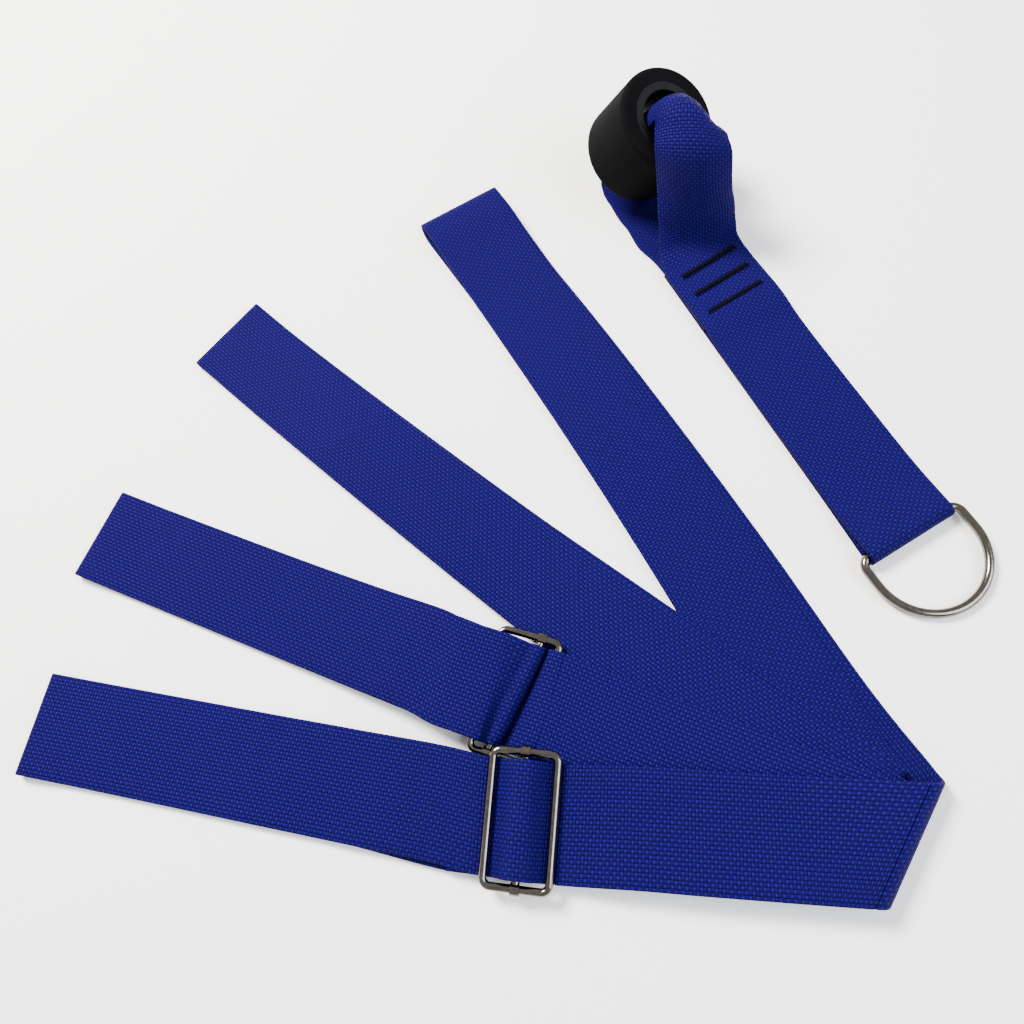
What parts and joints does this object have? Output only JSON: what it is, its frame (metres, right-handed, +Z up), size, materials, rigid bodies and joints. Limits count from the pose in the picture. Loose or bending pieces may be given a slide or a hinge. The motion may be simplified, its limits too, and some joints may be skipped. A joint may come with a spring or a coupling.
{
  "type": "stretching strap",
  "caption": "Webbing stretching strap folded in a fan, with wire sliders and an adjustable loop at each end, and a door anchor loop with a D-ring and a round foam plug.",
  "frame": {"origin": "centre of the laid-out object's bounding box, on the floor it lies on", "axes": "+X to the right, from the folded ends towards the corner where the bands meet; +Y away from the viewer, towards the door plug; +Z up"},
  "size_m": [0.3529, 0.315, 0.0552],
  "materials": {
    "webbing": "matte",
    "thread": "matte",
    "plated_steel": "polished",
    "foam": "matte",
    "sleeve_plastic": "satin"
  },
  "bodies": {
    "strap": {"long_strap": "webbing"},
    "slider_a": {"slider_a_frame": "plated_steel", "slider_a_bar": "plated_steel"},
    "slider_b": {"slider_b_frame": "plated_steel", "slider_b_bar": "plated_steel"},
    "anchor": {"anchor_strap": "webbing", "anchor_tack_1": "thread", "anchor_tack_2": "thread", "anchor_tack_3": "thread"},
    "ring": {"d_ring": "plated_steel"},
    "plug": {"plug_foam": "foam", "plug_sleeve_top": "sleeve_plastic", "plug_sleeve_bottom": "sleeve_plastic"}
  },
  "joints": [
    {"name": "slider_a_slide", "type": "slide", "parent": "strap", "child": "slider_a", "axis": [0.9962, -0.0872, 0], "range_m": [-0.11, 0.06], "deforming": ["long_strap"]},
    {"name": "slider_b_slide", "type": "slide", "parent": "strap", "child": "slider_b", "axis": [0.9511, -0.309, 0], "range_m": [-0.11, 0.05], "deforming": ["long_strap"]},
    {"name": "anchor_lift", "type": "slide", "parent": "strap", "child": "anchor", "axis": [0, 0, 1], "range_m": [0, 0.15]},
    {"name": "d_ring_swing", "type": "hinge", "parent": "anchor", "child": "ring", "pos_m": [0.14868, -0.03522, 0.0033], "axis": [0.8499, 0.527, 0], "range_deg": [0, 150]},
    {"name": "plug_spin", "type": "hinge", "parent": "anchor", "child": "plug", "pos_m": [0.06272, 0.13327, 0.02716], "axis": [0.4619, -0.2886, 0.8387], "continuous": true}
  ]
}
